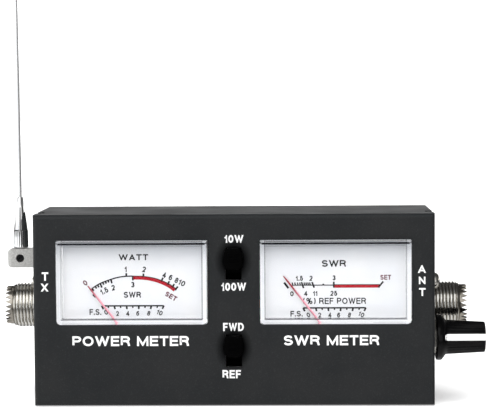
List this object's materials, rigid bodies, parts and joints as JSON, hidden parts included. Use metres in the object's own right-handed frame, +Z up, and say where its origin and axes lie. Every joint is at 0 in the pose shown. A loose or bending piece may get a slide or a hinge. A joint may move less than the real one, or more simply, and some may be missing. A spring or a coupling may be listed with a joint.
{
  "type": "swr meter",
  "caption": "Small boxed radio power and standing wave meter: two needle meters, slide switches, threaded side sockets, a level knob and a swivelling whip antenna.",
  "frame": {"origin": "centre of the case's bottom face, on the surface it stands on", "axes": "+X to the right seen from the front, +Y from the front panel to the back, +Z up"},
  "size_m": [0.1714, 0.0549, 0.17],
  "materials": {
    "charcoal_paint": "satin",
    "nickel_plate": "polished nickel",
    "zinc_steel": "satin",
    "black_oxide": "black oxide",
    "contact_brass": "plated",
    "copper_wire": "enamelled copper",
    "spring_bronze": "bright",
    "shaft_aluminium": "turned",
    "magnet_grey": "matte",
    "clear_cover": "clear",
    "ivory_plastic": "satin",
    "dial_white": "printed white",
    "needle_red": "lacquered",
    "insulator_cream": "satin",
    "phenolic_brown": "satin",
    "black_plastic": "gloss",
    "white_plastic": "satin",
    "board_green": "solder mask",
    "diode_glass": "clear amber"
  },
  "bodies": {
    "case": {"front_chassis": "charcoal_paint", "rear_cover": "charcoal_paint", "cover_screw_1": "zinc_steel", "cover_screw_2": "zinc_steel", "cover_screw_3": "zinc_steel", "cover_screw_4": "zinc_steel", "tx_socket_shell": "nickel_plate", "tx_socket_insulator": "insulator_cream", "tx_socket_contact": "contact_brass", "tx_socket_screw_1": "zinc_steel", "tx_socket_screw_2": "zinc_steel", "tx_socket_nut_1": "zinc_steel", "tx_socket_nut_2": "zinc_steel", "ant_socket_shell": "nickel_plate", "ant_socket_insulator": "insulator_cream", "ant_socket_contact": "contact_brass", "ant_socket_screw_1": "zinc_steel", "ant_socket_screw_2": "zinc_steel", "ant_socket_nut_1": "zinc_steel", "ant_socket_nut_2": "zinc_steel", "power_meter_cover": "clear_cover", "power_meter_housing": "ivory_plastic", "power_meter_dial": "dial_white", "power_meter_magnet": "magnet_grey", "power_meter_yoke": "zinc_steel", "power_meter_hairspring": "spring_bronze", "swr_meter_cover": "clear_cover", "swr_meter_housing": "ivory_plastic", "swr_meter_dial": "dial_white", "swr_meter_magnet": "magnet_grey", "swr_meter_yoke": "zinc_steel", "swr_meter_hairspring": "spring_bronze", "range_switch_frame": "zinc_steel", "range_switch_base": "phenolic_brown", "direction_switch_frame": "zinc_steel", "direction_switch_base": "phenolic_brown", "level_pot_body": "zinc_steel", "level_pot_nut": "zinc_steel", "antenna_bush": "phenolic_brown", "antenna_pivot_screw": "zinc_steel", "antenna_lead": "needle_red", "coupler_line": "copper_wire", "coupler_board": "board_green", "forward_diode": "diode_glass", "reflected_diode": "diode_glass"},
    "power_needle": {"power_meter_coil": "copper_wire", "power_meter_needle": "needle_red"},
    "swr_needle": {"swr_meter_coil": "copper_wire", "swr_meter_needle": "needle_red"},
    "range_slider": {"range_switch_slider": "black_plastic", "range_switch_cap": "black_plastic"},
    "direction_slider": {"direction_switch_slider": "black_plastic", "direction_switch_cap": "black_plastic"},
    "level_control": {"level_pot_shaft": "shaft_aluminium", "level_knob": "black_plastic", "level_knob_line": "white_plastic"},
    "antenna": {"antenna_block": "nickel_plate", "antenna_set_screw": "black_oxide", "antenna_ferrule": "nickel_plate", "antenna_whip": "nickel_plate"}
  },
  "joints": [
    {"name": "power_needle_swing", "type": "hinge", "parent": "case", "child": "power_needle", "pos_m": [-0.0355, -0.0211, 0.022], "axis": [0, 1, 0], "range_deg": [-1.5, 77.5], "stiffness_Nm_per_rad": 0.00001},
    {"name": "swr_needle_swing", "type": "hinge", "parent": "case", "child": "swr_needle", "pos_m": [0.0355, -0.0211, 0.022], "axis": [0, 1, 0], "range_deg": [-1.5, 77.5], "stiffness_Nm_per_rad": 0.00001},
    {"name": "range_switch_slide", "type": "slide", "parent": "case", "child": "range_slider", "axis": [0, 0, -1], "range_m": [0, 0.004]},
    {"name": "direction_switch_slide", "type": "slide", "parent": "case", "child": "direction_slider", "axis": [0, 0, -1], "range_m": [0, 0.004]},
    {"name": "level_knob_turn", "type": "hinge", "parent": "case", "child": "level_control", "pos_m": [0.07, -0.014, 0.02265], "axis": [-1, 0, 0], "range_deg": [-54, 246]},
    {"name": "antenna_swivel", "type": "hinge", "parent": "case", "child": "antenna", "pos_m": [-0.07, 0.0035, 0.0498], "axis": [1, 0, 0], "range_deg": [-90, 90]}
  ]
}
